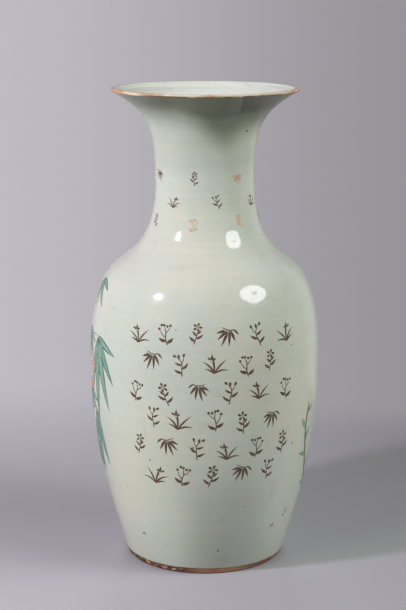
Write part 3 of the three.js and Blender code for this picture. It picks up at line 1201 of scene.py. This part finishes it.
def painted_blossom(place, size):
    """A full plum blossom: five petals with outlines, and stamens round a yellow heart."""
    start = HAND.uniform(0, 72)
    load = HAND.random()
    for k in range(5):
        degrees = start + 72 * k
        petal = reach((0, 0), degrees, size, about(0, 8), 10)
        stroke(PETALS, place, petal, size * 0.92, petal_width, 0.7 * (k % 2), load + 0.1 * HAND.random())
        rim = size * (0.95 + 0.07 * np.cos(np.linspace(-3, 3, 9)))
        arc = direction(degrees + np.linspace(-30, 30, 9)) * rim[:, None]
        stroke(OUTLINES, place, arc, 0.55, line_width, 2.2)
    for k in range(10):
        near, far = size * 0.08, size * HAND.uniform(0.42, 0.6)
        way = direction(start + 20 + 36 * k)
        stroke(STAMENS, place, np.linspace(near, far, 4)[:, None] * way, 0.4, line_width, 3)
        dot(STAMENS, place, way * far, 0.9, 3.4)
    dot(STAMENS, place, (0, 0), size * 0.26, 4)


def painted_bud(place, degrees, size):
    load = HAND.random()
    petal = reach((0, 0), degrees, size, about(0, 10), 8)
    stroke(PETALS, place, petal, size * 0.62, petal_width, 1, load)
    for side in (-1, 1):
        calyx = reach((0, 0), degrees + 38 * side, size * 0.5, -36 * side, 5)
        stroke(OUTLINES, place, calyx, 1.1, line_width, 2.4)


def route(stops, wobble=0.0):
    """A smooth track through stops given as (angle in degrees, height), a little unsteady."""
    angles, heights = np.array(stops, float).T
    path = curve(np.column_stack([np.radians(angles) * FLAT_RADIUS, length_at(heights * MM) / MM]))
    drift = np.cumsum([about(0, wobble) for _ in path])
    path[:, 0] += drift - np.linspace(drift[0], drift[-1], len(path))
    return path * [1 / FLAT_RADIUS, MM]


def place_on(track, share):
    """The place at a share of a track, and the way the track goes there, in degrees."""
    at = min(max(int(share * len(track)), 1), len(track) - 2)
    before, here, after = track[at - 1 : at + 2]
    way = math.degrees(math.atan2(after[1] - before[1], (after[0] - before[0]) * radius_at(here[1])))
    return Place(math.degrees(here[0]), height_at(here[1]) / MM), way


def stem_to(place, degrees, length, bend, width):
    """A short stem from a place; returns the place at its end."""
    track = place.track(reach((0, 0), degrees, length, bend, 8))
    sweep(BRANCHES, track, width, twig_width, 0.5, HAND.random())
    return Place(math.degrees(track[-1][0]), height_at(track[-1][1]) / MM)


def bark(track, width):
    """Short bent lines all along a branch."""
    for share in np.arange(0.05, 0.92, BARK_SPACING / (len(track) * STROKE_STEP)):
        place, _ = place_on(track, share)
        path = reach((0, 0), HAND.uniform(0, 360), width * (1 - TAPER * share) * 0.8, 70, 6)
        stroke(VEINS, place, path, 0.5, line_width, 1.6)


def plum_branch(stops, width):
    """A knotty branch with blossoms, buds and leaves by turns on either side."""
    track = route(stops, 0.18)
    sweep(BRANCHES, track, width, twig_width, 0, HAND.random())
    bark(track, width)
    side = 1
    size = 7.5 + 0.75 * width
    for share in np.arange(0.16, 0.97, TWIG_SPACING / (len(track) * STROKE_STEP)):
        place, way = place_on(track, share)
        kind = HAND.random()
        if kind < LEAFY:
            leaf_spray(place, way + 58 * side, HAND.choice((2, 3)), 26 + 2 * width, 6.6)
        elif kind < FLOWERY:
            painted_blossom(stem_to(place, way + 52 * side, size * 0.9, -20 * side, 1.6), size)
        else:
            end = stem_to(place, way + 44 * side, size * 1.2, -16 * side, 1.4)
            painted_bud(end, way + 30 * side, size * 0.85)
        side = -side
    place, way = place_on(track, 1)
    painted_bud(place, way, 7)


def bamboo_cane(stops, width):
    """A jointed cane with short twigs and hanging leaves at its upper joints."""
    track = route(stops)
    count = max(2, round(len(track) * STROKE_STEP / CANE_LENGTH))
    cuts = np.linspace(0, len(track) - 1, count + 1).astype(int)
    side = 1
    for low, high in zip(cuts, cuts[1:]):
        sweep(CANES, track[low:high], width, cane_width, 0, HAND.random())
        joint, way = place_on(track, high / len(track))
        stroke(VEINS, joint, bar((0, 0), way + 90, width, 7), 0.9, line_width, 1.6)
        if low > 0:
            end = stem_to(joint, way + 62 * side, 17, -34 * side, 1.5)
            leaf_spray(end, about(-90 - 34 * side, 10), 3, 40, 8.0)
            side = -side


PLUM_ROUTES = [
    (9.0, [(174, 32), (166, 72), (182, 112), (196, 150), (187, 196), (171, 236), (178, 282), (195, 320)]),
    (5.0, [(194, 146), (208, 164), (226, 190), (238, 226), (252, 252), (262, 290)]),
    (5.0, [(181, 110), (161, 140), (147, 176), (141, 218), (129, 252), (121, 296)]),
    (3.6, [(172, 234), (157, 262), (151, 300), (156, 334)]),
    (3.2, [(224, 188), (240, 176), (256, 172), (270, 152)]),
    (3.4, [(148, 174), (131, 168), (115, 186), (104, 216)]),
    (3.0, [(178, 280), (196, 276), (212, 290), (222, 316)]),
]
CANE_ROUTES = [
    (6.0, [(276, 34), (273, 120), (275, 210), (272, 300), (274, 344)]),
    (4.6, [(114, 34), (111, 110), (106, 200), (108, 290), (104, 330)]),
]
LEFT_TWIGS = [
    (
        [(273, 268), (284, 286), (295, 288)],
        [(-112, 78, 11), (-96, 104, 14), (-80, 92, 13), (-60, 66, 11), (-30, 44, 9)],
    ),
    ([(274, 176), (284, 194), (291, 194)], [(-118, 62, 10), (-98, 84, 12.5), (-79, 70, 11.5)]),
]
RIGHT_TWIG = [(108, 38), (97, 58), (84, 82), (73, 108), (66, 140), (62, 174), (64, 208)]
RIGHT_LEAVES = [(0.3, -1), (0.42, 1), (0.54, -1), (0.65, 1), (0.75, -1), (0.84, 1), (0.92, -1)]
EDGE_BLOSSOMS = [(286, 246, 11), (281, 222, 9), (279, 262, 8)]
GRASS_ANGLES = range(100, 274, 7)
GRASS_HEIGHT = 30


def coloured_painting():
    for width, stops in PLUM_ROUTES:
        plum_branch(stops, width)
    for width, stops in CANE_ROUTES:
        bamboo_cane(stops, width)
    for stops, leaves in LEFT_TWIGS:
        track = route(stops)
        sweep(BRANCHES, track, 2.4, twig_width, 0.5, 0.4)
        end, _ = place_on(track, 1)
        for degrees, length, width in leaves:
            painted_leaf(end, degrees, length, width, HAND.uniform(4, 16))
    for angle, height, size in EDGE_BLOSSOMS:
        painted_blossom(Place(angle, height), size)
    right_twig()
    grass()


def right_twig():
    """A twig that leans in from the right, with a dark line along one side and a few small leaves."""
    track = route(RIGHT_TWIG, 0.1)
    sweep(BRANCHES, track, 7.0, twig_width, 0.5, 0.6)
    sweep(VEINS, track[2:-2] + [0.012, 0], 1.8, twig_width, 2, 0.6)
    for share, side in RIGHT_LEAVES:
        place, way = place_on(track, share)
        painted_leaf(place, way + 38 * side, 28 - 10 * share, 6.0)


def grass():
    """Low blades round the back where the branches leave the ground."""
    for angle in GRASS_ANGLES:
        place = Place(about(angle, 3), GRASS_HEIGHT + HAND.uniform(-3, 4))
        for degrees in (58, 76, 90, 106, 124):
            start = (about(0, 3), 0)
            length = HAND.uniform(14, 34)
            path = reach(start, about(degrees, 8), length, about(0, 34), 14)
            stroke(LEAVES, place, path, 3.0, leaf_width, 0, HAND.random())


# Specks and short marks that the kiln left on the glaze: angle, height, width, length and turn.

SPECK_PLACES = [
    (-41.6, 47.4, 2.1, 2.6, 20),
    (45.8, 56.2, 2.0, 3.0, 70),
    (55, 64, 1.9, 2.4, 0),
    (57, 72, 1.3, 1.8, 40),
    (49.7, 163.4, 1.7, 2.1, 30),
    (47.1, 285.9, 1.3, 1.7, 0),
    (-5.8, 172.5, 1.5, 2.0, 60),
    (-28.6, 151.9, 1.4, 1.8, 10),
    (8.5, 33.1, 1.7, 2.3, 80),
    (46.5, 532.5, 1.9, 2.3, 0),
    (70.5, 405.2, 1.5, 1.9, 40),
    (-14.2, 312.7, 1.0, 1.4, 0),
    (-47, 108, 1.1, 1.6, 30),
    (22, 92, 1.0, 1.5, 75),
    (128, 92, 1.7, 2.1, 25),
    (-131, 380, 1.5, 1.9, 55),
    (158, 446, 1.2, 1.7, 15),
    (-96, 66, 1.8, 2.3, 35),
]
HALO_PLACES = [
    (45.5, 56.4, 4.2, 6.4, 20),
    (56.5, 69, 4.6, 9.5, 66),
    (-41.4, 47.2, 3.2, 5.0, 0),
    (128, 92, 4, 5, 25),
]
PINK_PLACES = [(9.8, 174.6, 1.5, 9.5, -35), (-30.6, 186, 1.0, 11, -82), (7.4, 236.1, 0.8, 18, 0)]
KILN_MARKS = [(HALOS, HALO_PLACES, -1.9), (SPECKS, SPECK_PLACES, -1), (PINK_MARKS, PINK_PLACES, -1)]
MARK_SIZE = 1.4


def kiln_marks():
    for enamel, places, layer in KILN_MARKS:
        for angle, height, width, length, turn in places:
            place = Place(angle, height, turn, MARK_SIZE)
            path = bar((0, 0), 0, length, 9)
            stroke(enamel, place, path, width, dot_width, layer, (angle % 10) / 10)


def build_painting():
    scattered_sprigs()
    coloured_painting()
    kiln_marks()
    for enamel in ENAMELS:
        enamel.build()


# Stage: floor, background, lamps and camera.

# Painted light and shade: the floor is lighter on the left, by the key lamp, and darker to the right.
FLOOR_LIT_LEFT = srgb(184, 184, 191)
FLOOR_SHADED_RIGHT = srgb(159, 159, 167)
FLOOR_TURN = 0.5
FLOOR_RADIUS = 4.0
FLOOR_ROUGHNESS = 0.7
# Where the floor starts to fade and over what depth: in the middle, and more for each metre to the right.
FADE_REACH = 0.35
FADE_START = (0.25, 0.55)
FADE_DEPTH = (0.47, -0.81)
FLOOR_EDGE = (0.75, 1.0)

# Painted shade: the backdrop darkens from left to right.
BACKGROUND_LEFT = srgb(190, 187, 194)
BACKGROUND_SHADED_RIGHT = srgb(150, 148, 153)
BACKGROUND_TURN = 0.15
WORLD_COLOUR = (0.96, 1.0, 0.84)
WORLD_STRENGTH = 0.01
CAMERA_PLACE = (-2.27 * MM, -1866.6 * MM, 721.8 * MM)
CAMERA_PITCH = 0.2155
CAMERA_FOCAL_PIXELS = 1549.4
PICTURE_HEIGHT = 610
SENSOR = 36.0
LIGHT_CENTRE = Vector((0, 0, 0.38))
UMBRELLA_HEAD = 0.19
HEAD_PLACE = (63, 36, 1.9)
HEAD_COLOUR = (0.01, 0.01, 0.01)
HEAD_CORNERS = 24


@dataclass
class Lamp:
    """An area lamp: its place as azimuth, elevation and distance, its width and height, and its light."""

    place: tuple
    size: tuple
    power: float
    colour: tuple = (1, 1, 1)
    shape: str = "RECTANGLE"
    glossy: bool = True
    spread: float = 180

    def build(self, name):
        data = bpy.data.lights.new(name, "AREA")
        data.shape = self.shape
        data.size, data.size_y = self.size
        data.energy = self.power
        data.color = self.colour
        data.spread = math.radians(self.spread)
        made = in_scene(name, data)
        made.visible_glossy = self.glossy
        aim(made, *self.place)


LAMPS = {
    "key": Lamp((-56, 32, 1.5), (0.16, 0.15), 14.6, (0.89, 0.74, 1.0), "ELLIPSE"),
    "umbrella": Lamp((63, 37, 2.2), (1.12, 0.93), 21.9, (0.95, 0.92, 1.0), "ELLIPSE"),
    "left_back": Lamp((-132, 2, 1.6), (0.7, 1.6), 0.8),
    "right_back": Lamp((132, 2, 1.6), (0.7, 1.6), 0.95, (0.98, 0.87, 1.0)),
    "left_low": Lamp((-80, -6, 1.6), (0.8, 0.5), 2.7, (1.0, 0.85, 0.97), glossy=False),
    "left_front": Lamp((-50, 18, 1.6), (0.8, 0.5), 11.0, (0.85, 1.0, 0.61), glossy=False),
    "right_side": Lamp((80, 18, 1.6), (0.8, 0.5), 8.5, (0.96, 1.0, 0.7), glossy=False),
    "behind": Lamp((180, 2, 1.4), (0.4, 0.5), 1.2, glossy=False, spread=56),
}


def aim(made, azimuth, elevation, distance):
    """Turns an object to the vase and sets it back; azimuth 0 is the front, positive to the right."""
    a, e = math.radians(azimuth), math.radians(elevation)
    way = Vector((math.sin(a) * math.cos(e), -math.cos(a) * math.cos(e), math.sin(e)))
    made.location = LIGHT_CENTRE + way * distance
    made.rotation_mode = "QUATERNION"
    made.rotation_quaternion = way.to_track_quat("Z", "Y")


def floor_shade(tree):
    """A pale floor with painted shade that darkens it to the right; it dissolves into the background a
    little way behind the vase.
    """
    x, y, _ = tree.axes()
    side = x.ramp(-FLOOR_TURN, FLOOR_TURN)
    aside = x.least(FADE_REACH).most(-FADE_REACH)
    start, depth = (aside * more + middle for middle, more in (FADE_START, FADE_DEPTH))
    fade = ((y - start) / depth).ramp(0, 1).most(tree.radius().ramp(*FLOOR_EDGE))
    shader = Out(tree, tree.nodes["Principled BSDF"].outputs["BSDF"])
    tree.end_with("Material Output", fade, shader, tree.add("BsdfTransparent"))
    # Painted shade: the floor's colour darkens from left to right.
    return {"Base Color": tree.mix(side, FLOOR_LIT_LEFT, FLOOR_SHADED_RIGHT), "Roughness": FLOOR_ROUGHNESS}


def build_floor():
    corners = [(-1, -1), (1, -1), (1, 1), (-1, 1)]
    vertices = [(x * FLOOR_RADIUS, y * FLOOR_RADIUS, 0) for x, y in corners]
    floor = add_object("floor", vertices, [range(4)], new_material("pale_floor", floor_shade))


def build_world():
    """Even light, seen by the camera and in reflections as a pale backdrop with painted shade that darkens
    it a little to the right.
    """
    world = bpy.context.scene.world or bpy.data.worlds.new("studio")
    bpy.context.scene.world = world
    tree = Tree(world)
    tree.fill(tree.nodes["Background"], {"Color": WORLD_COLOUR, "Strength": WORLD_STRENGTH})
    even = Out(tree, tree.nodes["Background"].outputs[0])
    x = tree.add("SeparateXYZ", {"Vector": tree.add("TexCoord")})
    side = x.ramp(-BACKGROUND_TURN, BACKGROUND_TURN)
    seen = tree.add("Background", {"Color": tree.mix(side, BACKGROUND_LEFT, BACKGROUND_SHADED_RIGHT)})
    ray = tree.add("LightPath").others()
    shown = ray["Is Camera Ray"].most(ray["Is Glossy Ray"]).most(ray["Is Transmission Ray"])
    tree.end_with("World Output", shown, even, seen)


def build_umbrella_head():
    """The dark flash head in front of the umbrella, seen only as the dark spot in its reflection."""
    material = new_material("dark_head", lambda tree: {"Base Color": HEAD_COLOUR})
    turn = turns(HEAD_CORNERS)
    ring = np.column_stack([np.cos(turn), np.sin(turn), 0 * turn]) * UMBRELLA_HEAD / 2
    head = add_object("umbrella_head", ring, [range(HEAD_CORNERS)], material)
    aim(head, *HEAD_PLACE)
    head.visible_camera = head.visible_diffuse = head.visible_shadow = head.visible_transmission = False


def build_camera():
    data = bpy.data.cameras.new("camera")
    data.sensor_width = SENSOR
    data.lens = CAMERA_FOCAL_PIXELS * SENSOR / PICTURE_HEIGHT
    made = in_scene("camera", data)
    made.location = CAMERA_PLACE
    made.rotation_euler = (math.pi / 2 - CAMERA_PITCH, 0, 0)
    bpy.context.scene.camera = made


build_vase()
build_painting()
build_floor()
build_world()
for name, lamp in LAMPS.items():
    lamp.build(name)
build_umbrella_head()
build_camera()
bpy.context.scene.view_settings.view_transform = "Standard"
